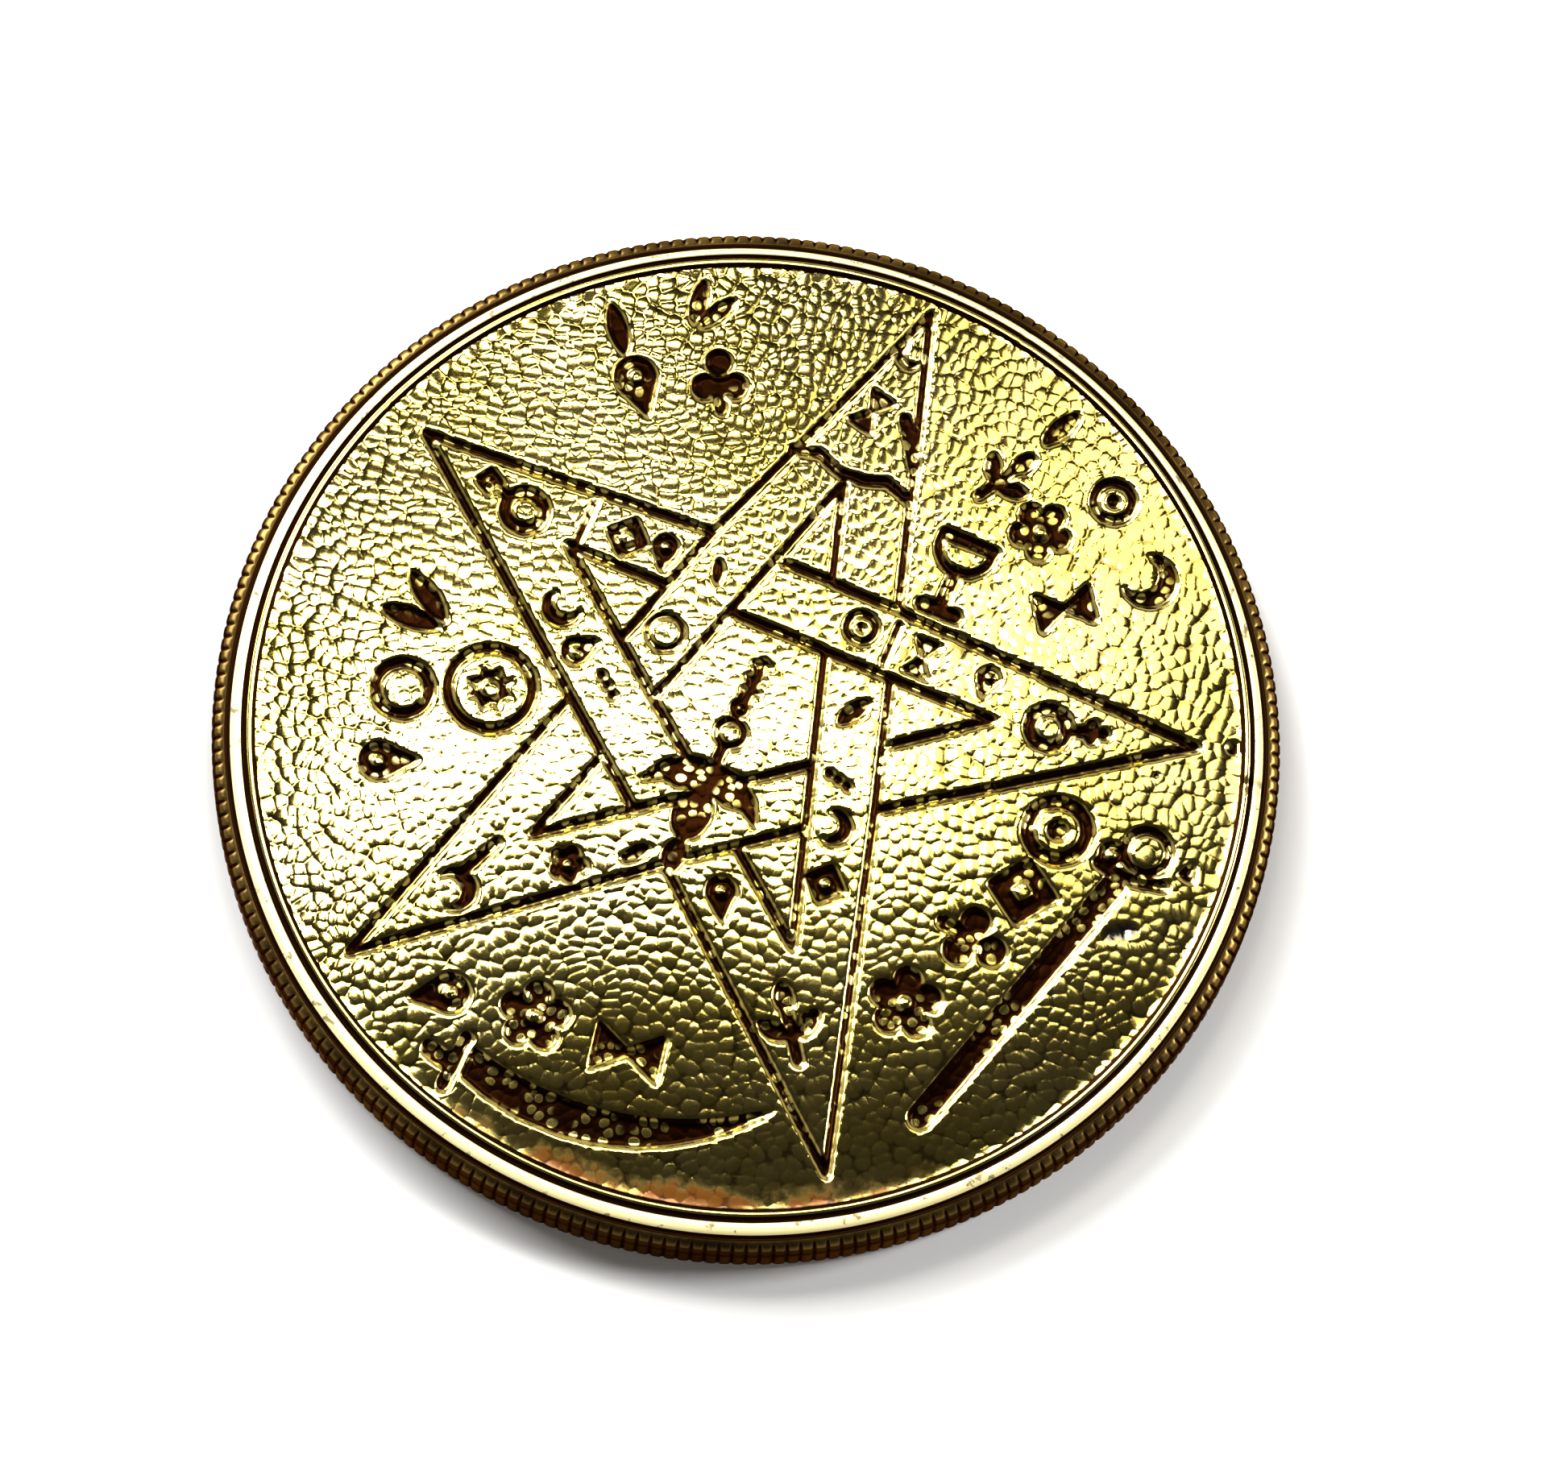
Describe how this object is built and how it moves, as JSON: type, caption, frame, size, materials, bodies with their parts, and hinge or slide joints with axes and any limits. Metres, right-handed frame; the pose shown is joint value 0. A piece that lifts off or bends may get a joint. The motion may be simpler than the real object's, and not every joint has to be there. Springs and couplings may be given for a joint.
{
  "type": "souvenir token",
  "caption": "Round gilt metal token with a raised rim, a reeded edge and a sunk interlaced star among small ornaments on a pebbled field.",
  "frame": {"origin": "middle of the reverse rim plane, where the token rests on a surface", "axes": "+Z out of the obverse, +Y towards the star's top point, +X to the right of the obverse seen upright"},
  "size_m": [0.04, 0.04, 0.0022],
  "materials": {
    "gilt_face": "bright gilt, struck, worn high spots and darkened recesses",
    "gilt_edge": "gilt, reeded, dulled in the grooves",
    "core_metal": "grey base metal, out of sight"
  },
  "bodies": {
    "root": {"obverse_face": "gilt_face", "core_disc": "core_metal", "reverse_face": "gilt_face", "edge_band": "gilt_edge"}
  },
  "joints": []
}
